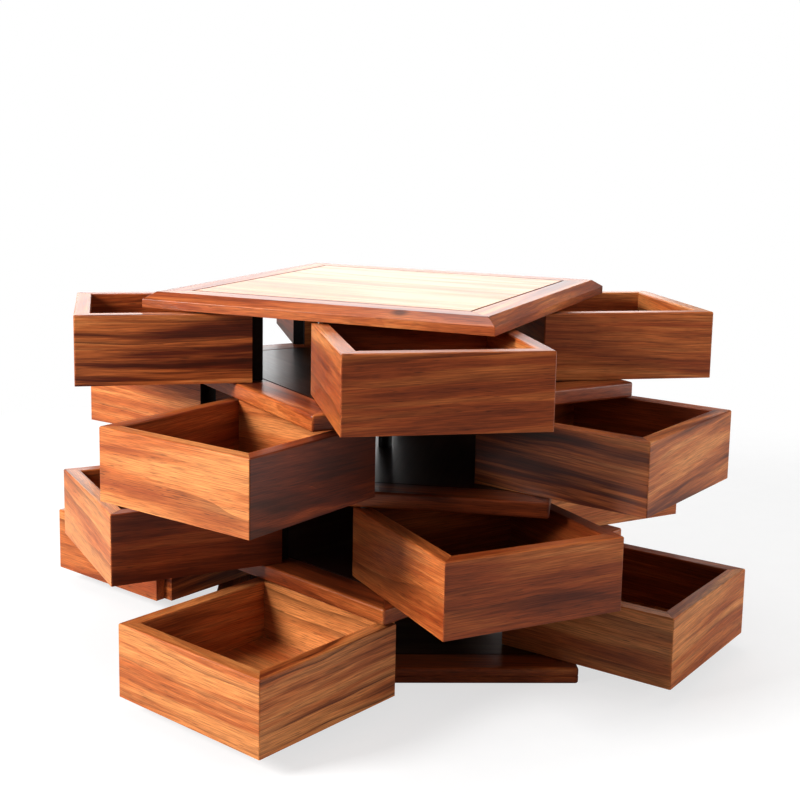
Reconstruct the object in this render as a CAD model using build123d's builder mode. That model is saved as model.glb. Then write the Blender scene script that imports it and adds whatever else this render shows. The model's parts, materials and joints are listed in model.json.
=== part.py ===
"""Rotating desk organizer of hardwood.

A base and four plates turn one over the other on a central column.  Between
each plate and the one under it are four square drawers.  Each drawer hangs on
a pivot pin from the plate over it, and a guide pin on the plate under it runs
in a curved groove in its floor, so turning a plate swings its four drawers out
together.  The closed organizer is very nearly a cube.

Frame: Z up, origin on the column's axis at the underside of the base, and the
front of the base faces -Y.  Angles are in degrees, lengths in millimetres.
Tiers and plates are counted from the bottom, and level 0 is the base.
"""

import os
from math import atan2, cos, degrees, radians, sin

from build123d import *

# Plates
plate_side = 304.0
plate_thickness = 13.0
frame_width = 29.0  # from the outer edge of a plate to its centre panel
plate_corner_radius = 2.5
plate_edge_radius = 2.0
tongue_length = 6.0  # the panel's edge, held in a groove round the frame
tongue_thickness = 5.0
joint_chamfer = 0.8  # each half of the fine V line between frame and panel
top_bevel_inset = 8.5
top_bevel_drop = 6.0
inlay_width = 1.6
inlay_depth = 2.5
base_line_width = 1.4  # the line cut round the edge of the base
base_line_depth = 1.0

# Drawers
drawer_height = 57.0
wall = 12.5
floor_thickness = 10.0
gap_between_drawers = 2.0
edge_margin = 0.5  # closed drawers stand this far inside the plate's edge
gap_under_drawer = 0.5
gap_over_drawer = 1.5
rim_chamfer = 0.9
drawer_corner_radius = 1.2
column_notch = 9.5  # square cut at the inmost corner, clear of the column

# Pivot pins, pressed into the plate over the drawers
pivot_diameter = 5.0
pivot_running_clearance = 0.08
pivot_socket_depth = 8.0
pivot_head_diameter = 9.0
pivot_head_height = 2.5
pivot_head_clearance = 0.3
pivot_head_play = 0.1
pivot_recess_depth = 3.0

# Guide pins, pressed into the plate under the drawers
guide_diameter = 5.0
guide_socket_depth = 8.0
guide_engagement = 4.0
guide_clearance = 0.5
groove_headroom = 0.5
guide_past_tongue = 5.0  # from the edge of the panel's tongue, out into the frame
guide_from_front = 60.0  # from the front edge of the plate
groove_steps = 16

# Column
rod_diameter = 8.0
rod_running_clearance = 0.08
bushing_diameter = 12.0
collar_diameter = 15.5
collar_height = 10.5
column_end_play = 0.1
insert_diameter = 12.0
insert_depth = 9.0
rod_engagement = 8.0
nut_width = 13.0
nut_height = 6.0
washer_diameter = 20.0
washer_thickness = 1.5
foot_recess_diameter = 24.0
foot_recess_depth = 8.0

glue_line = 0.02  # round a pin or an insert that is pressed into wood

# Pose of the tiers, from the bottom: how far each plate is turned from the one
# under it, and how far that has swung each of the four drawers between them
tier_turn_angles = (43.1, 35.4, 39.8, 35.7)
drawer_swing_angles = (
    (80.8, 84.0, 84.8, 85.9),
    (51.7, 54.1, 53.8, 54.4),
    (66.8, 65.2, 67.0, 67.3),
    (54.8, 54.2, 55.3, 54.8),
)
full_turn_angle = 44.0

# Worked out from the sizes above
tiers = range(len(tier_turn_angles))
top_level = len(tier_turn_angles)
sides = range(4)
drawer_letters = "abcd"
running_space = gap_under_drawer + drawer_height + gap_over_drawer
tier_pitch = plate_thickness + running_space
plate_angle = [sum(tier_turn_angles[:level]) for level in range(top_level + 1)]
panel_side = plate_side - 2 * frame_width
tongue_side = panel_side + 2 * tongue_length
tongue_base = (plate_thickness - tongue_thickness) / 2
drawer_side = (plate_side - 2 * edge_margin - gap_between_drawers) / 2
drawer_inside = drawer_side - 2 * wall
corner_inset = wall / 2  # from a drawer's faces to its pivot
drawer_centre = Vector(drawer_side / 2 - corner_inset, corner_inset - drawer_side / 2)
inmost_corner = Vector(drawer_side - corner_inset, corner_inset)
front_pivot = Vector(
    gap_between_drawers / 2 + corner_inset,
    edge_margin + corner_inset - plate_side / 2,
)
front_guide = Vector(tongue_side / 2 + guide_past_tongue, guide_from_front - plate_side / 2)
rod_bore_radius = rod_diameter / 2 + rod_running_clearance
pivot_bore_radius = pivot_diameter / 2 + pivot_running_clearance
foot_nut_top = foot_recess_depth - column_end_play - washer_thickness


def turned_plane(place, angle):
    return Plane(origin=place, x_dir=(cos(radians(angle)), sin(radians(angle)), 0), z_dir=(0, 0, 1))


def plate_plane(level):
    """The plane on a plate's underside, turned with the plate."""
    return turned_plane((0, 0, level * tier_pitch), plate_angle[level])


def round_the_plate(place, side):
    """The same place on the plate for the drawer on its front side, or a later one."""
    return place.rotate(Axis.Z, 90 * side)


def drawer_plane(tier, side):
    """The plane on a drawer's underside, with its origin on the pivot."""
    over = plate_angle[tier + 1]
    pivot = round_the_plate(front_pivot, side).rotate(Axis.Z, over)
    underside = tier * tier_pitch + plate_thickness + gap_under_drawer
    closed = over + 90 * side + 90
    return turned_plane((pivot.X, pivot.Y, underside), closed - drawer_swing_angles[tier][side])


def guide_path(tier, side):
    """Where the guide pin stands under a drawer, as its plate turns from closed to full."""
    swing_per_turn = drawer_swing_angles[tier][side] / tier_turn_angles[tier]
    path = []
    for step in range(groove_steps + 1):
        turn = full_turn_angle * step / groove_steps
        from_pivot = front_guide.rotate(Axis.Z, -turn) - front_pivot
        path.append(from_pivot.rotate(Axis.Z, swing_per_turn * turn - 90))
    return path


def placed(solids, plane):
    return [solid.moved(plane.location) for solid in solids]


def write(solids, name):
    group = Compound(label=name, children=solids)
    export_step(group, f"parts/{name}.step")


def mitred(ring, centre, reach):
    """The four boards of a ring, cut apart on its diagonals."""
    boards = []
    for side in sides:
        first = Vector(reach, 0).rotate(Axis.Z, 90 * side + 45)
        second = first.rotate(Axis.Z, 90)
        with BuildPart() as board:
            add(ring)
            with BuildSketch(Plane(origin=(centre.X, centre.Y, 0))):
                with BuildLine():
                    Polyline((0, 0), (first.X, first.Y), (second.X, second.Y), close=True)
                make_face()
            extrude(amount=reach, mode=Mode.INTERSECT)
        boards.append(board.part.solid())
    return boards


def plate_frame(level):
    """The mitred frame of a plate, with its sockets for pins."""
    with BuildPart() as frame:
        if level == top_level:
            with BuildSketch():
                Rectangle(plate_side, plate_side)
            extrude(amount=plate_thickness)
            upper = frame.faces().sort_by(Axis.Z)[-1]
            chamfer(upper.edges(), top_bevel_inset, top_bevel_drop, reference=upper)
        else:
            with BuildSketch():
                RectangleRounded(plate_side, plate_side, plate_corner_radius)
            extrude(amount=plate_thickness)
            fillet(frame.edges().filter_by(Plane.XY), plate_edge_radius)
        with BuildSketch():
            Rectangle(panel_side, panel_side)
        extrude(amount=plate_thickness, mode=Mode.SUBTRACT)
        with BuildSketch(Plane.XY.offset(tongue_base)):
            Rectangle(tongue_side, tongue_side)
        extrude(amount=tongue_thickness, mode=Mode.SUBTRACT)
        if level < top_level:
            inner_rim = frame.faces().sort_by(Axis.Z)[-1].inner_wires()[0]
            chamfer(inner_rim.edges(), joint_chamfer)
            with BuildSketch(Plane.XY.offset(plate_thickness)):
                with Locations([round_the_plate(front_guide, side) for side in sides]):
                    Circle(guide_diameter / 2 + glue_line)
            extrude(amount=-guide_socket_depth, mode=Mode.SUBTRACT)
        if level > 0:
            with BuildSketch():
                with Locations([round_the_plate(front_pivot, side) for side in sides]):
                    Circle(pivot_diameter / 2 + glue_line)
            extrude(amount=pivot_socket_depth, mode=Mode.SUBTRACT)
        if level == 0:
            with BuildSketch(Plane.XY.offset((plate_thickness - base_line_width) / 2)):
                Rectangle(plate_side + wall, plate_side + wall)
                inner_side = plate_side - 2 * base_line_depth
                Rectangle(inner_side, inner_side, mode=Mode.SUBTRACT)
            extrude(amount=base_line_width, mode=Mode.SUBTRACT)
    return mitred(frame.part, Vector(0, 0), plate_side)


def plate_panel(level):
    """The centre panel of a plate, bored for the column."""
    with BuildPart() as panel:
        with BuildSketch():
            Rectangle(panel_side, panel_side)
        extrude(amount=plate_thickness)
        if level < top_level:
            chamfer(panel.faces().sort_by(Axis.Z)[-1].edges(), joint_chamfer)
        with BuildSketch(Plane.XY.offset(tongue_base)):
            Rectangle(tongue_side, tongue_side)
        extrude(amount=tongue_thickness)
        if level < top_level:
            with BuildSketch():
                Circle(rod_bore_radius)
            extrude(amount=plate_thickness, mode=Mode.SUBTRACT)
        else:
            with BuildSketch():
                Circle(insert_diameter / 2 + glue_line)
            extrude(amount=insert_depth, mode=Mode.SUBTRACT)
            with BuildSketch(Plane.XY.offset(plate_thickness)):
                Rectangle(panel_side, panel_side)
                field = panel_side - 2 * inlay_width
                Rectangle(field, field, mode=Mode.SUBTRACT)
            extrude(amount=-inlay_depth, mode=Mode.SUBTRACT)
        if level == 0:
            with BuildSketch():
                Circle(foot_recess_diameter / 2)
            extrude(amount=foot_recess_depth, mode=Mode.SUBTRACT)
    return [panel.part.solid()]


def top_inlay():
    """Four dark strips let into the top between its frame and its panel."""
    with BuildPart() as inlay:
        with BuildSketch(Plane.XY.offset(plate_thickness - inlay_depth)):
            Rectangle(panel_side, panel_side)
            field = panel_side - 2 * inlay_width
            Rectangle(field, field, mode=Mode.SUBTRACT)
        extrude(amount=inlay_depth)
    return mitred(inlay.part, Vector(0, 0), plate_side)


def drawer_walls():
    """The four mitred walls of a drawer, notched at the column and bored for the pivot."""
    with BuildPart() as ring:
        with BuildSketch():
            with Locations(drawer_centre):
                RectangleRounded(drawer_side, drawer_side, drawer_corner_radius)
                Rectangle(drawer_inside, drawer_inside, mode=Mode.SUBTRACT)
            with Locations(inmost_corner):
                Rectangle(2 * column_notch, 2 * column_notch, mode=Mode.SUBTRACT)
        extrude(amount=drawer_height)
        chamfer(ring.faces().sort_by(Axis.Z)[-1].edges(), rim_chamfer)
        with BuildSketch():
            Circle(pivot_bore_radius)
        extrude(amount=drawer_height, mode=Mode.SUBTRACT)
        with BuildSketch():
            Circle(pivot_head_diameter / 2 + pivot_head_clearance)
        extrude(amount=pivot_recess_depth, mode=Mode.SUBTRACT)
    return mitred(ring.part, drawer_centre, plate_side)


def drawer_floor(tier, side):
    """The floor between a drawer's walls, grooved underneath for the guide pin."""
    path = guide_path(tier, side)
    with BuildPart() as board:
        with BuildSketch():
            with Locations(drawer_centre):
                Rectangle(drawer_inside, drawer_inside)
        extrude(amount=floor_thickness)
        with BuildSketch():
            for start, end in zip(path, path[1:]):
                run = end - start
                heading = degrees(atan2(run.Y, run.X))
                with Locations((start + end) / 2):
                    SlotCenterToCenter(run.length, guide_diameter + 2 * guide_clearance, heading)
        extrude(amount=guide_engagement + groove_headroom, mode=Mode.SUBTRACT)
    return [board.part.solid()]


def pivot_pin():
    """A headed pin, standing as it does from a drawer's underside."""
    head_top = pivot_recess_depth - pivot_head_play
    tip = drawer_height + gap_over_drawer + pivot_socket_depth
    with BuildPart() as pin:
        with BuildSketch(Plane.XY.offset(head_top - pivot_head_height)):
            Circle(pivot_head_diameter / 2)
        extrude(amount=pivot_head_height)
        with BuildSketch(Plane.XY.offset(head_top)):
            Circle(pivot_diameter / 2)
        extrude(amount=tip - head_top)
    return pin.part.solid()


def guide_pins():
    """The four plain pins that stand on a plate."""
    foot = plate_thickness - guide_socket_depth
    tip = plate_thickness + gap_under_drawer + guide_engagement
    with BuildPart() as pins:
        with BuildSketch(Plane.XY.offset(foot)):
            with Locations([round_the_plate(front_guide, side) for side in sides]):
                Circle(guide_diameter / 2)
        extrude(amount=tip - foot)
    return pins.part.solids()


def column_bushing():
    """The sleeve on the rod between two plates, with a collar under the upper one."""
    length = running_space - column_end_play
    with BuildPart() as bushing:
        with BuildSketch(Plane.XY.offset(plate_thickness)):
            Circle(bushing_diameter / 2)
        extrude(amount=length)
        with BuildSketch(Plane.XY.offset(plate_thickness + length - collar_height)):
            Circle(collar_diameter / 2)
        extrude(amount=collar_height)
        with BuildSketch(Plane.XY.offset(plate_thickness)):
            Circle(rod_bore_radius)
        extrude(amount=length, mode=Mode.SUBTRACT)
    return bushing.part.solid()


os.makedirs("parts", exist_ok=True)

# Plates
plate_names = ["base"] + [f"plate_{level}" for level in range(1, top_level)] + ["top"]
for level, plate_name in enumerate(plate_names):
    write(placed(plate_frame(level), plate_plane(level)), f"{plate_name}_frame")
    write(placed(plate_panel(level), plate_plane(level)), f"{plate_name}_panel")
write(placed(top_inlay(), plate_plane(top_level)), "top_inlay")

# Drawers, and the pins and the bushing of each tier
walls = drawer_walls()
for tier in tiers:
    tier_name = f"tier_{tier + 1}"
    pivot_pins = []
    for side in sides:
        drawer_name = f"{tier_name}_drawer_{drawer_letters[side]}"
        stand = drawer_plane(tier, side)
        write(placed(walls, stand), f"{drawer_name}_walls")
        write(placed(drawer_floor(tier, side), stand), f"{drawer_name}_floor")
        pivot_pins += placed([pivot_pin()], stand)
    write(pivot_pins, f"{tier_name}_pivot_pins")
    write(placed(guide_pins(), plate_plane(tier)), f"{tier_name}_guide_pins")
    write(placed([column_bushing()], plate_plane(tier)), f"{tier_name}_bushing")

# Rod through the whole column, with what holds its two ends
top_underside = top_level * tier_pitch
with BuildPart() as column_rod:
    with BuildSketch(Plane.XY.offset(foot_nut_top - nut_height)):
        Circle(rod_diameter / 2)
    extrude(amount=top_underside + rod_engagement - foot_nut_top + nut_height)
write([column_rod.part.solid()], "column_rod")

with BuildPart() as rod_insert:
    with BuildSketch(Plane.XY.offset(top_underside)):
        Circle(insert_diameter / 2)
        Circle(rod_diameter / 2 + glue_line, mode=Mode.SUBTRACT)
    extrude(amount=insert_depth)
write([rod_insert.part.solid()], "rod_insert")

with BuildPart() as foot_nut:
    with BuildSketch(Plane.XY.offset(foot_nut_top - nut_height)):
        RegularPolygon(nut_width / 2, 6, major_radius=False)
        Circle(rod_diameter / 2 + glue_line, mode=Mode.SUBTRACT)
    extrude(amount=nut_height)
write([foot_nut.part.solid()], "foot_nut")

with BuildPart() as foot_washer:
    with BuildSketch(Plane.XY.offset(foot_nut_top)):
        Circle(washer_diameter / 2)
        Circle(rod_bore_radius, mode=Mode.SUBTRACT)
    extrude(amount=washer_thickness)
write([foot_washer.part.solid()], "foot_washer")
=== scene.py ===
"""Looks of the rotating desk organizer: lacquered streaky hardwood boards on a black column.

Metres, Z up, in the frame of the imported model.  Every wooden node is shown as
its separate boards, each with its own grain; the metal nodes keep their meshes.
"""

import json
import random
from math import atan2, cos, pi, radians, sin

import bmesh
import bpy
from mathutils import Matrix, Vector

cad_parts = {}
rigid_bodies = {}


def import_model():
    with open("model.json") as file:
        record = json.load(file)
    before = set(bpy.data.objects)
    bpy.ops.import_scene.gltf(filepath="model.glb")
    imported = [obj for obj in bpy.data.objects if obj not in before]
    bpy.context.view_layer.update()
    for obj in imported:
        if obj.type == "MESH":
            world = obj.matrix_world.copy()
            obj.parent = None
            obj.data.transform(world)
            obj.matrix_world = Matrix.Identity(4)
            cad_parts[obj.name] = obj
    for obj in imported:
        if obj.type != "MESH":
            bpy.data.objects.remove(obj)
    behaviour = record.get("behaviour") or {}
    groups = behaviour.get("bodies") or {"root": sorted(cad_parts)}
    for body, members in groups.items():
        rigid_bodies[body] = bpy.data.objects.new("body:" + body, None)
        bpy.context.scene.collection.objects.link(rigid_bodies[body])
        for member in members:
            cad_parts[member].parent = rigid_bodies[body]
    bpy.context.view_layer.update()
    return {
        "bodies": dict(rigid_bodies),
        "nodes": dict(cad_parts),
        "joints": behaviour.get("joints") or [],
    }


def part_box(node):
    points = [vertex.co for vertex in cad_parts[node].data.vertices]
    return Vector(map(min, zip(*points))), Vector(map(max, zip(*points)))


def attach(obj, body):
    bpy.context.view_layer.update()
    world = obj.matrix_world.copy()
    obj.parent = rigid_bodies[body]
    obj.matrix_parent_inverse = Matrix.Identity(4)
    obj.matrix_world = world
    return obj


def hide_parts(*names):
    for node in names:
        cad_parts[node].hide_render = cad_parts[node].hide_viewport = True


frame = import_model()
scene = bpy.context.scene

MM = 0.001
QUARTER = pi / 2
UP = Vector((0, 0, 1))


def heading(angle):
    """The level direction at an angle from +X."""
    return Vector((cos(angle), sin(angle), 0))


def middle(node):
    low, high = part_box(node)
    return (low + high) / 2


# ---------------------------------------------------------------- node helpers


def new_material(name):
    """A new material, its node tree and its shader."""
    material = bpy.data.materials.new(name)
    material.use_nodes = True
    return material, material.node_tree, material.node_tree.nodes["Principled BSDF"]


def fill(tree, node, inputs):
    """Set or link a node's inputs, named as they are or by number as _0, _1 and so on."""
    for name, value in inputs.items():
        socket = node.inputs[int(name[1:]) if name[0] == "_" else name]
        if isinstance(value, bpy.types.NodeSocket):
            tree.links.new(value, socket)
        else:
            socket.default_value = value


def add_node(tree, kind, settings=None, **inputs):
    """A shader node with its settings and its inputs."""
    made = tree.nodes.new("ShaderNode" + kind)
    for name, value in (settings or {}).items():
        setattr(made, name, value)
    fill(tree, made, inputs)
    return made


def attribute(tree, name, output="Vector"):
    """One of the values that each board carries: grain, tone or knot."""
    return add_node(tree, "Attribute", {"attribute_name": name}).outputs[output]


def maths(tree, operation, first, second=0.0, third=0.0, clamp=False):
    settings = {"operation": operation, "use_clamp": clamp}
    return add_node(tree, "Math", settings, _0=first, _1=second, _2=third).outputs[0]


def times(tree, first, second):
    return maths(tree, "MULTIPLY", first, second)


def line(tree, value, gain, offset, clamp=False):
    """The value times a gain, plus an offset."""
    return maths(tree, "MULTIPLY_ADD", value, gain, offset, clamp)


def spread(tree, value, gain):
    """A noise value stretched about its middle to fill 0 to 1."""
    return line(tree, value, gain, 0.5 - gain / 2, clamp=True)


def noise(tree, place, scale=1.0, detail=3.0, roughness=0.55):
    made = add_node(tree, "TexNoise", Vector=place, Scale=scale, Detail=detail, Roughness=roughness)
    return made.outputs["Fac"]


def stretch(tree, place, scales):
    """A place scaled on each of its three axes."""
    return add_node(tree, "VectorMath", {"operation": "MULTIPLY"}, _0=place, _1=scales).outputs[0]


def length(tree, place):
    return add_node(tree, "VectorMath", {"operation": "LENGTH"}, _0=place).outputs["Value"]


def flat_place(tree, first, second):
    return add_node(tree, "CombineXYZ", _0=first, _1=second, _2=0.0).outputs[0]


def ramp(tree, factor, stops):
    """A colour from a factor, by stops that each have a position and a colour."""
    made = add_node(tree, "ValToRGB", Fac=factor)
    elements = made.color_ramp.elements
    while len(elements) < len(stops):
        elements.new(0.5)
    for element, (position, colour) in zip(elements, stops):
        element.position = position
        element.color = (*colour, 1.0)
    return made.outputs["Color"]


def mix_colour(tree, factor, first, second, blend="MIX"):
    settings = {"data_type": "RGBA", "blend_type": blend}
    return add_node(tree, "Mix", settings, _0=factor, _6=first, _7=second).outputs[2]


def between(tree, value, low, high):
    """A value from 0 to 1 made to run from low to high."""
    return add_node(tree, "MapRange", Value=value, **{"To Min": low, "To Max": high}).outputs[0]


def bump(tree, height, strength, depth):
    return add_node(tree, "Bump", Height=height, Strength=strength, Distance=depth).outputs[0]


# ------------------------------------------------------------------------ wood

PALE_GOLD = (0.70, 0.41, 0.21)
GOLD = (0.62, 0.250, 0.080)
ORANGE = (0.48, 0.142, 0.036)
RED_BROWN = (0.310, 0.066, 0.015)
DEEP_BROWN = (0.135, 0.023, 0.006)
NEAR_BLACK = (0.026, 0.008, 0.005)
# A near-black brown for the panels of the lower plates
PANEL_DARK_BROWN = (0.062, 0.036, 0.024)
LATE_WOOD = tuple(c * 0.45 for c in DEEP_BROWN)

# How each cut of the wood looks: how far beside the board its pith was, how wide
# its bands are and how far they wave, all in millimetres, how strong its dark
# lines are, and its colours from the palest to the darkest
CUTS = {
    "even": {
        "pith": 45, "band": 9.0, "wave": 8, "lines": 0.55,
        "colours": (GOLD, ORANGE, RED_BROWN, DEEP_BROWN),
    },
    "golden": {
        "pith": 55, "band": 8.0, "wave": 10, "lines": 0.60,
        "colours": (GOLD, GOLD, ORANGE, RED_BROWN),
    },
    "striped": {
        "pith": 75, "band": 7.0, "wave": 9, "lines": 0.95,
        "colours": (GOLD, ORANGE, DEEP_BROWN, NEAR_BLACK),
    },
    "swirled": {
        "pith": 12, "band": 8.0, "wave": 26, "lines": 0.75,
        "colours": (ORANGE, RED_BROWN, DEEP_BROWN, NEAR_BLACK),
    },
    "pale": {
        "pith": 60, "band": 14.0, "wave": 16, "lines": 0.35,
        "colours": (PALE_GOLD, GOLD, ORANGE, RED_BROWN),
    },
    "dark_panel": {
        "pith": 50, "band": 9.0, "wave": 12, "lines": 0.5,
        "colours": (PANEL_DARK_BROWN, PANEL_DARK_BROWN, NEAR_BLACK, NEAR_BLACK),
    },
}
COLOUR_STOPS = (0.24, 0.40, 0.60, 0.84)

# How often each pattern changes, per metre along, across and through a board
WANDER = (6, 12, 12)
BROAD = (5, 26, 26)
STREAKS = (9, 300, 300)
FIBRE = (45, 1400, 1400)
PORES = (75, 1000, 1000)
KNOT_SCALES = (70, 170, 0)

# How much each pattern darkens a board, and how much its tone lightens it
BROAD_SHARE = 0.36
BAND_SHARE = 0.48
STREAK_SHARE = 0.16
TONE_SHARE = 0.22


def growth_rings(tree, place, knot_reach, looks):
    """Broad bands, and dark lines where late wood ends, round a pith beside the board."""
    pith_depth = 45 * MM
    knot_push = 9 * MM
    knot_slope = 0.6
    along, aside, depth = add_node(tree, "SeparateXYZ", _0=place).outputs

    # The pith wanders, and a knot pushes the rings aside
    wander = noise(tree, stretch(tree, place, WANDER), detail=2.0)
    sway = line(tree, wander, looks["wave"] * 2 * MM, (looks["pith"] - looks["wave"]) * MM)
    hump = maths(tree, "DIVIDE", 1.0, line(tree, times(tree, knot_reach, knot_reach), knot_slope, 1.0))
    across = line(tree, hump, knot_push, maths(tree, "ADD", aside, sway))
    through = maths(tree, "ADD", depth, pith_depth)
    squares = maths(tree, "ADD", times(tree, across, across), times(tree, through, through))
    ring = times(tree, maths(tree, "SQRT", squares), 1 / (looks["band"] * MM))

    bands_along = 4.0
    banded = flat_place(tree, times(tree, along, bands_along), ring)
    bands = spread(tree, noise(tree, banded, 0.8), 2.4)

    # Each ring's dark line is sharp on one side, and has a strength of its own
    waver = 2.5
    sharpness = 3.5
    lines_along = 5.0
    ring_step = 7.3
    phase = line(tree, noise(tree, banded, 0.45, detail=2.0), waver, ring)
    late = maths(tree, "POWER", maths(tree, "FRACT", phase), sharpness)
    own_ring = times(tree, maths(tree, "FLOOR", phase), ring_step)
    each_ring = flat_place(tree, times(tree, along, lines_along), own_ring)
    strength = spread(tree, noise(tree, each_ring, detail=1.0), 3.0)
    return bands, times(tree, times(tree, late, looks["lines"]), strength)


def wood(cut):
    """Lacquered hardwood, from each board's own coordinates: along, across and through it."""
    looks = CUTS[cut]
    material, tree, surface = new_material(f"wood_{cut}")
    place = attribute(tree, "grain")
    knot = attribute(tree, "knot")
    from_knot = add_node(tree, "VectorMath", {"operation": "SUBTRACT"}, _0=place, _1=knot).outputs[0]
    knot_reach = length(tree, stretch(tree, from_knot, KNOT_SCALES))
    bands, lines = growth_rings(tree, place, knot_reach, looks)
    broad = spread(tree, noise(tree, stretch(tree, place, BROAD), detail=2.0), 2.2)
    streaks = spread(tree, noise(tree, stretch(tree, place, STREAKS), roughness=0.6), 2.6)
    fibre = noise(tree, stretch(tree, place, FIBRE), detail=2.0, roughness=0.6)
    pores = noise(tree, stretch(tree, place, PORES), detail=1.0)

    shade = line(tree, broad, BROAD_SHARE, times(tree, bands, BAND_SHARE))
    shade = line(tree, streaks, STREAK_SHARE, shade)
    shade = line(tree, attribute(tree, "tone", "Fac"), -TONE_SHARE, shade)
    colour = ramp(tree, shade, tuple(zip(COLOUR_STOPS, looks["colours"])))

    # Dark lines, and the knot's dark heart
    heart = line(tree, knot_reach, -2.2, 1.5, clamp=True)
    lines = maths(tree, "MAXIMUM", lines, times(tree, heart, 0.85))
    colour = mix_colour(tree, lines, colour, (*LATE_WOOD, 1.0))

    # Fine fibre, and pores that are denser in the darker wood
    fibre_tone = ramp(tree, fibre, ((0.36, (0.70, 0.67, 0.65)), (0.64, (1.20, 1.20, 1.20))))
    colour = mix_colour(tree, 1.0, colour, fibre_tone, blend="MULTIPLY")
    pore_mask = times(tree, line(tree, pores, 9.0, -5.7, clamp=True), line(tree, broad, 0.6, 0.15))
    colour = mix_colour(tree, pore_mask, colour, (*NEAR_BLACK, 1.0))

    height = maths(tree, "SUBTRACT", fibre, times(tree, pore_mask, 0.8))
    fill(tree, surface, {
        "Base Color": colour,
        "Roughness": between(tree, fibre, 0.30, 0.44),
        "Normal": bump(tree, height, 0.18, 0.25 * MM),
        "Specular IOR Level": 0.4,
        "Coat Weight": 0.12,
        "Coat Roughness": 0.22,
    })
    return material


# ------------------------------------------------------------- paint and metal


def dull_dark(name, scales, stops, roughness, specular):
    """A dark surface with little gloss, whose colour changes a little along the board."""
    material, tree, surface = new_material(name)
    marks = noise(tree, stretch(tree, attribute(tree, "grain"), scales))
    fill(tree, surface, {
        "Base Color": ramp(tree, marks, stops),
        "Roughness": roughness,
        "Specular IOR Level": specular,
    })
    return material


def metal(name, colour, roughness, metallic):
    """Turned or painted metal, with fine marks round it."""
    material, tree, surface = new_material(name)
    place = add_node(tree, "TexCoord").outputs["Object"]
    marks = noise(tree, stretch(tree, place, (60, 60, 2500)))
    darker = [c * 0.8 for c in colour]
    lighter = [c * 1.15 for c in colour]
    fill(tree, surface, {
        "Base Color": ramp(tree, marks, ((0.3, darker), (0.7, lighter))),
        "Roughness": between(tree, marks, roughness - 0.06, roughness + 0.08),
        "Normal": bump(tree, marks, 0.1, 0.05 * MM),
        "Metallic": metallic,
    })
    return material


woods = {cut: wood(cut) for cut in CUTS}
# Painted shade: near-black for the drawers' notch faces, in place of the deep shade in that corner
notch_shade_black = dull_dark(
    "notch_shade_black", (60, 300, 300),
    ((0.3, (0.006, 0.005, 0.005)), (0.7, (0.012, 0.010, 0.010))), roughness=0.6, specular=0.2,
)
dark_strip = dull_dark(
    "wood_inlay", (30, 900, 900),
    ((0.3, NEAR_BLACK), (0.8, DEEP_BROWN)), roughness=0.8, specular=0.02,
)
black_column = metal("black_column", (0.018, 0.018, 0.019), 0.42, 0.0)
brass = metal("brass_insert", (0.62, 0.47, 0.20), 0.34, 1.0)
steel = metal("plain_steel", (0.45, 0.45, 0.46), 0.32, 1.0)

# ---------------------------------------------------------------------- boards

WELD = 0.002 * MM
EDGE_ROUND = 0.3 * MM
LONG_EDGE = 6 * MM
JUST_INSIDE = 0.4 * MM
NEARLY_FLAT = radians(0.5)
SHARP_EDGE = radians(30)
CREASE = radians(40)

# Where in its tree a board may come from, along, across and through its grain
CUT_FROM = ((0, 9), (-0.01, 0.02), (-0.02, 0.03))
GRAIN_LEAN = 0.06

# The knots that the photograph shows, by board, and a place beyond every board
KNOTS = {"top_frame_board_1": Vector((0.0025, -0.1637, 0.298))}
NO_KNOT = Vector((-9, 0, 0))


def triangles(node):
    """The corners and the normal of each triangle of a node."""
    mesh = frame["nodes"][node].data
    mesh.calc_loop_triangles()
    found = []
    for triangle in mesh.loop_triangles:
        points = [mesh.vertices[i].co.copy() for i in triangle.vertices]
        normal = (points[1] - points[0]).cross(points[2] - points[0])
        if normal.length > 0:
            found.append((points, normal.normalized()))
    return found


def ring_boards(node, centre, turn, standing):
    """The node's triangles sorted into its four mitred boards, with each board's axes."""
    boards = [[] for _ in range(4)]
    for points, normal in triangles(node):
        inside = sum(points, Vector()) / 3 - normal * JUST_INSIDE - centre
        angle = (atan2(inside.y, inside.x) - turn) % (2 * pi)
        boards[int((angle + QUARTER / 2) // QUARTER) % 4].append(points)
    made = []
    for side, faces in enumerate(boards):
        outward = heading(turn + side * QUARTER)
        along = heading(turn + (side + 1) * QUARTER)
        axes = (along, UP, outward) if standing else (along, outward, UP)
        made.append((faces, axes))
    return made


def flat_board(node, turn):
    """All the node's triangles as one board that lies flat, with its axes."""
    faces = [points for points, _ in triangles(node)]
    return faces, (heading(turn), heading(turn + QUARTER), UP)


def board_mesh(name, faces):
    """A mesh from triangles, with its long sharp edges rounded a little."""
    shape = bmesh.new()
    corners = {}
    for points in faces:
        verts = []
        for point in points:
            key = tuple(round(c / WELD) for c in point)
            if key not in corners:
                corners[key] = shape.verts.new(point)
            verts.append(corners[key])
        if len(set(verts)) == 3 and shape.faces.get(verts) is None:
            shape.faces.new(verts)
    bmesh.ops.dissolve_limit(shape, angle_limit=NEARLY_FLAT, verts=shape.verts, edges=shape.edges)
    sharp = [
        edge
        for edge in shape.edges
        if len(edge.link_faces) == 2
        and edge.is_convex
        and edge.calc_length() > LONG_EDGE
        and edge.calc_face_angle() > SHARP_EDGE
    ]
    bmesh.ops.bevel(
        shape, geom=sharp, offset=EDGE_ROUND, offset_type="OFFSET", segments=2,
        profile=0.5, affect="EDGES", clamp_overlap=True,
    )
    mesh = bpy.data.meshes.new(name)
    shape.to_mesh(mesh)
    shape.free()
    mesh.shade_smooth()
    mesh.set_sharp_from_angle(angle=CREASE)
    return mesh


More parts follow.
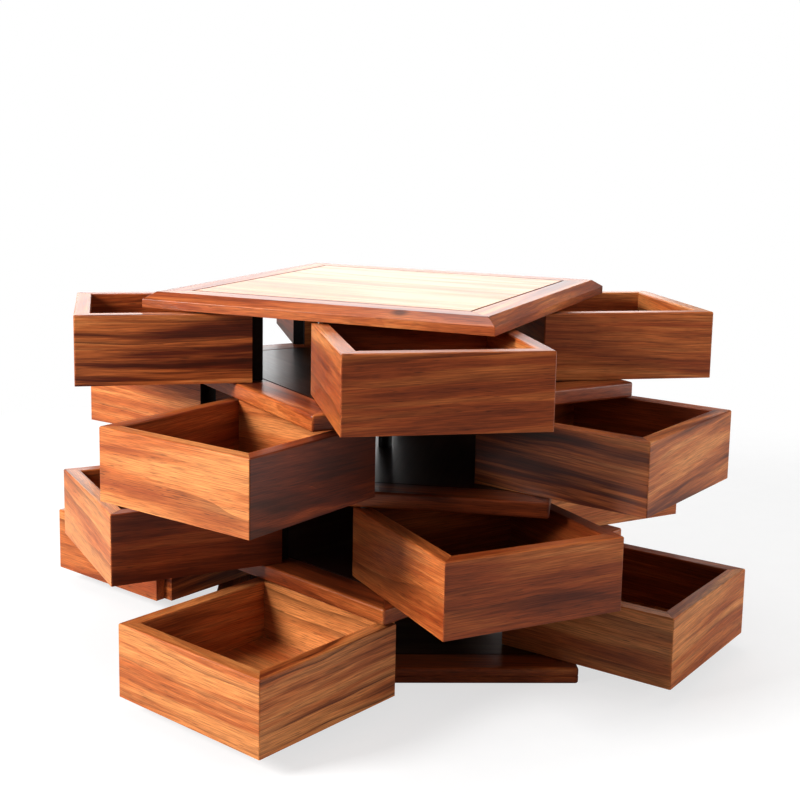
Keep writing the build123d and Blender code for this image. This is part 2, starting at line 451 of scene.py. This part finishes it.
def set_grain(mesh, axes, origin, seed, tone, knot):
    """The coordinates, tone and knot that the wood's material reads from a board."""
    along, across, through = axes
    dice = random.Random(seed)
    shift = Vector([dice.uniform(*span) for span in CUT_FROM])
    across = across + along * dice.uniform(-GRAIN_LEAN, GRAIN_LEAN)
    if dice.random() < 0.5:
        across, through = -across, -through

    def in_grain(place):
        place = place - origin
        return Vector((place.dot(along), place.dot(across), place.dot(through))) + shift

    grain = [in_grain(vertex.co) for vertex in mesh.vertices]
    knot = in_grain(knot) if knot else NO_KNOT
    mesh.attributes.new("grain", "FLOAT_VECTOR", "POINT")
    mesh.attributes.new("tone", "FLOAT", "POINT")
    mesh.attributes.new("knot", "FLOAT_VECTOR", "POINT")
    mesh.attributes["grain"].data.foreach_set("vector", [c for point in grain for c in point])
    mesh.attributes["tone"].data.foreach_set("value", [tone] * len(grain))
    mesh.attributes["knot"].data.foreach_set("vector", list(knot) * len(grain))


def dress(node, body, material, board, seed, tone, suffix=""):
    """A board of a node as a piece of its own, which rides on the node's body."""
    name = f"{node}_board{suffix}"
    faces, axes = board
    mesh = board_mesh(name, faces)
    set_grain(mesh, axes, middle(node), seed, tone, KNOTS.get(name))
    mesh.materials.append(material)
    piece = bpy.data.objects.new(name, mesh)
    scene.collection.objects.link(piece)
    # Only the rounded edges are shaded as round: the flat faces stay flat
    piece.modifiers.new("flat_faces", "WEIGHTED_NORMAL").keep_sharp = True
    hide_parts(node)
    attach(piece, body)
    return piece


# --------------------------------------------------------------------- drawers

NOTCH = 9.5 * MM
PIVOT_CORNER = radians(135)  # from the middle of wall 0 round to the pivot

# Looks of the boards that the photograph shows, by drawer and wall: the cut, and
# how pale it is, from -1 to 1.  Seen from above, walls are counted anticlockwise:
# 0 and 1 meet at the notch, and 1 and 2 at the pivot.  The others are by chance.
DRAWER_LOOKS = {
    "tier_4_drawer_b": {0: ("striped", 0.15), 3: ("even", 0.1)},
    "tier_4_drawer_c": {0: ("even", 0.1), 1: ("even", -0.4), 2: ("even", 0.1), 3: ("even", -0.2)},
    "tier_4_drawer_d": {1: ("golden", -0.6), 2: ("golden", -0.9)},
    "tier_3_drawer_b": {0: ("golden", -0.7)},
    "tier_3_drawer_c": {
        0: ("swirled", -0.4), 1: ("golden", -0.1), 2: ("even", 0.0), 3: ("golden", -0.2),
    },
    "tier_3_drawer_d": {
        0: ("even", -0.4), 1: ("even", -0.4), 2: ("striped", -0.2), 3: ("striped", 0.3),
    },
    "tier_2_drawer_c": {0: ("even", -0.9), 3: ("golden", 0.2)},
    "tier_2_drawer_d": {2: ("even", 0.5), 3: ("even", -0.5)},
    "tier_1_drawer_c": {0: ("golden", -0.5)},
    "tier_1_drawer_d": {
        0: ("striped", 0.6), 1: ("golden", 1.0), 2: ("golden", 0.0), 3: ("golden", 0.0),
        "floor": ("golden", 0.4),
    },
    "tier_1_drawer_a": {
        0: ("even", -0.6), 1: ("even", -0.6), 2: ("golden", 0.2), 3: ("golden", -0.3),
    },
}
COMMON_CUTS = ("even", "golden", "even", "striped", "golden", "swirled")
COMMON_TONES = (-0.5, 0.4)
COMMON_FLOOR = ("even", 0.3)


def drawer_turn(body):
    """The drawer's centre, and its angle as its pivot corner gives it."""
    joint = next(j for j in frame["joints"] if j["child"] == body)
    centre = middle(f"{body}_floor")
    pivot = Vector(joint["pos_m"])
    return centre, atan2(pivot.y - centre.y, pivot.x - centre.x) - PIVOT_CORNER


def paint_notch_shade(piece, node, centre, turn):
    """Painted shade: black on the notch at a drawer's inmost corner, where walls 0 and 1 meet, in
    place of the deep shade in that corner.
    """
    sides = (heading(turn), heading(turn + QUARTER))
    corners = [vertex.co - centre for vertex in frame["nodes"][node].data.vertices]
    reach = max(corner.dot(sides[0]) for corner in corners)
    piece.data.materials.append(notch_shade_black)
    for polygon in piece.data.polygons:
        place = polygon.center - centre
        if min(place.dot(side) for side in sides) > reach - NOTCH - EDGE_ROUND:
            polygon.material_index = 1


seed = 0
for body in frame["bodies"]:
    if "_drawer_" not in body:
        continue
    centre, turn = drawer_turn(body)
    looks = DRAWER_LOOKS.get(body, {})
    walls = f"{body}_walls"
    for side, board in enumerate(ring_boards(walls, centre, turn, standing=True)):
        seed += 1
        dice = random.Random(seed)
        by_chance = (dice.choice(COMMON_CUTS), dice.uniform(*COMMON_TONES))
        cut, tone = looks.get(side, by_chance)
        piece = dress(walls, body, woods[cut], board, seed, tone, f"_{side}")
        # Painted shade: the notches of tiers 2 to 4 are made black for the deep shade they lie in;
        # tier 1's notch, which is lit, stays wood
        if side in (0, 1) and not body.startswith("tier_1"):
            paint_notch_shade(piece, walls, centre, turn)
    seed += 1
    floor = f"{body}_floor"
    cut, tone = looks.get("floor", COMMON_FLOOR)
    dress(floor, body, woods[cut], flat_board(floor, turn), seed, tone)

# ---------------------------------------------------------------------- plates

# The lower plates' panels are a near-black brown wood, the top's a pale one
LOWER_LOOKS = {"frame": ("even", -0.5), "panel": ("dark_panel", 0.0)}
TOP_LOOKS = {"frame": ("even", -0.3), "panel": ("pale", 0.8)}

plate_turn = 0.0
for plate in ("base", "plate_1", "plate_2", "plate_3", "top"):
    # A plate's least turn closes its tier, so it is minus the turn that it has now
    for joint in frame["joints"]:
        if joint["child"] == plate:
            plate_turn -= radians(joint["range_deg"][0])
    looks = TOP_LOOKS if plate == "top" else LOWER_LOOKS
    cut, tone = looks["frame"]
    for side, board in enumerate(ring_boards(f"{plate}_frame", Vector(), plate_turn, standing=False)):
        seed += 1
        dress(f"{plate}_frame", plate, woods[cut], board, seed, tone, f"_{side}")
    cut, tone = looks["panel"]
    seed += 1
    panel = f"{plate}_panel"
    dress(panel, plate, woods[cut], flat_board(panel, plate_turn), seed, tone)

for side, board in enumerate(ring_boards("top_inlay", Vector(), plate_turn, standing=False)):
    seed += 1
    dress("top_inlay", "top", dark_strip, board, seed, 0.0, f"_{side}")

# ----------------------------------------------------------------------- metal

for node, shown in frame["nodes"].items():
    if shown.hide_render:
        continue
    shown.data.materials.clear()
    if node.endswith("bushing"):
        shown.data.materials.append(black_column)
    elif node == "rod_insert":
        shown.data.materials.append(brass)
    else:
        shown.data.materials.append(steel)

# ---------------------------------------------------------------------- studio

ORGANIZER_MIDDLE = Vector((0.0, 0.0, 0.15))
FLOOR_REACH = 8.0
FLOOR_BOUNCE = (0.42, 0.40, 0.38, 1.0)
WHITE = (1.0, 1.0, 1.0, 1.0)
SKY_LIGHT = 0.25

# Each soft light's place, width, height and watts
LIGHTS = {
    "key": ((-1.55, -0.75, 0.97), 0.6, 0.6, 55),
    "window_behind": ((-0.15, 1.9, 0.62), 1.8, 0.8, 11),
    "overhead": ((0.0, 0.25, 1.7), 0.9, 0.9, 12),
    "right_fill": ((1.70, -0.30, 0.45), 0.9, 0.9, 17),
}


def soft_light(name, place, width, height, watts):
    """A rectangular light aimed at the organizer's middle."""
    data = bpy.data.lights.new(name, "AREA")
    data.shape = "RECTANGLE"
    data.size = width
    data.size_y = height
    data.energy = watts
    lamp = bpy.data.objects.new(name, data)
    lamp.location = place
    lamp.rotation_euler = (ORGANIZER_MIDDLE - Vector(place)).to_track_quat("-Z", "Y").to_euler()
    scene.collection.objects.link(lamp)


def studio_floor():
    """A pale floor that fades into the white background, and bounces less light than it shows."""
    material, tree, surface = new_material("studio_floor")
    place = add_node(tree, "TexCoord").outputs["Object"]
    to_camera = add_node(tree, "LightPath").outputs["Is Camera Ray"]
    pale = ramp(tree, noise(tree, place, 40.0), ((0.3, (0.88, 0.88, 0.88)), (0.7, (0.91, 0.91, 0.91))))
    fill(tree, surface, {
        "Base Color": mix_colour(tree, to_camera, FLOOR_BOUNCE, pale),
        "Roughness": 0.75,
        "Specular IOR Level": 0.2,
    })
    fade = line(tree, length(tree, place), 1.5, -0.50, clamp=True)
    fade = times(tree, maths(tree, "MAXIMUM", fade, 0.7), to_camera)
    white = add_node(tree, "Emission", Color=WHITE, Strength=1.0)
    mixed = add_node(tree, "MixShader", _0=fade, _1=surface.outputs[0], _2=white.outputs[0])
    tree.links.new(mixed.outputs[0], tree.nodes["Material Output"].inputs["Surface"])
    mesh = bpy.data.meshes.new("studio_floor")
    signs = ((-1, -1), (1, -1), (1, 1), (-1, 1))
    mesh.from_pydata([(x * FLOOR_REACH, y * FLOOR_REACH, 0) for x, y in signs], [], [(0, 1, 2, 3)])
    mesh.materials.append(material)
    ground = bpy.data.objects.new("studio_floor", mesh)
    scene.collection.objects.link(ground)


def studio_world():
    """White to the camera, dim as a light, and to the gloss darker in front and overhead."""
    world = bpy.data.worlds.new("studio")
    world.use_nodes = True
    scene.world = world
    tree = world.node_tree
    ray = add_node(tree, "LightPath").outputs
    toward = add_node(tree, "TexCoord").outputs["Generated"]
    _, back, high = add_node(tree, "SeparateXYZ", _0=toward).outputs
    low_down = maths(tree, "MAXIMUM", line(tree, high, -2.8, 1.1, clamp=True), 0.2)
    behind = line(tree, back, 0.75, 0.75, clamp=True)
    gloss_more = maths(tree, "SUBTRACT", times(tree, behind, low_down), SKY_LIGHT)
    strength = line(tree, ray["Is Camera Ray"], 1 - SKY_LIGHT, SKY_LIGHT)
    strength = line(tree, ray["Is Glossy Ray"], gloss_more, strength)
    fill(tree, tree.nodes["Background"], {"Color": WHITE, "Strength": strength})


studio_floor()
studio_world()
for name, (place, width, height, watts) in LIGHTS.items():
    soft_light(name, place, width, height, watts)
scene.view_settings.view_transform = "Standard"
scene.view_settings.gamma = 0.88

# ---------------------------------------------------------------------- camera

# The photograph's camera: where it stands, how it is aimed and how it is framed
CAMERA_DISTANCE = 1.1419
CAMERA_BEARING = -92.3  # degrees round the column, from +X
CAMERA_HEIGHT = 0.4324
CAMERA_DOWN = 8.955  # degrees
CAMERA_ROLL = 1.031  # degrees
SENSOR_WIDTH = 36.0  # millimetres
FOCAL_PIXELS = 1314.96
PHOTO_PIXELS = 800
OPTICAL_CENTRE = (386.92, 340.13)  # pixels from the photograph's upper left


def photo_camera():
    bearing, down, roll = (radians(a) for a in (CAMERA_BEARING, CAMERA_DOWN, CAMERA_ROLL))
    sight = heading(bearing + pi)
    right = sight.cross(UP)
    aim = sight * cos(down) - UP * sin(down)
    over = right.cross(aim)
    rolled_right = right * cos(roll) + over * sin(roll)
    rolled_over = over * cos(roll) - right * sin(roll)
    lens = bpy.data.cameras.new("camera")
    lens.sensor_width = SENSOR_WIDTH
    lens.lens = SENSOR_WIDTH * FOCAL_PIXELS / PHOTO_PIXELS
    lens.shift_x = (PHOTO_PIXELS / 2 - OPTICAL_CENTRE[0]) / PHOTO_PIXELS
    lens.shift_y = (OPTICAL_CENTRE[1] - PHOTO_PIXELS / 2) / PHOTO_PIXELS
    camera = bpy.data.objects.new("camera", lens)
    stand = heading(bearing) * CAMERA_DISTANCE + UP * CAMERA_HEIGHT
    axes = Matrix((rolled_right, rolled_over, -aim)).transposed().to_4x4()
    camera.matrix_world = Matrix.Translation(stand) @ axes
    scene.collection.objects.link(camera)
    return camera


scene.camera = photo_camera()
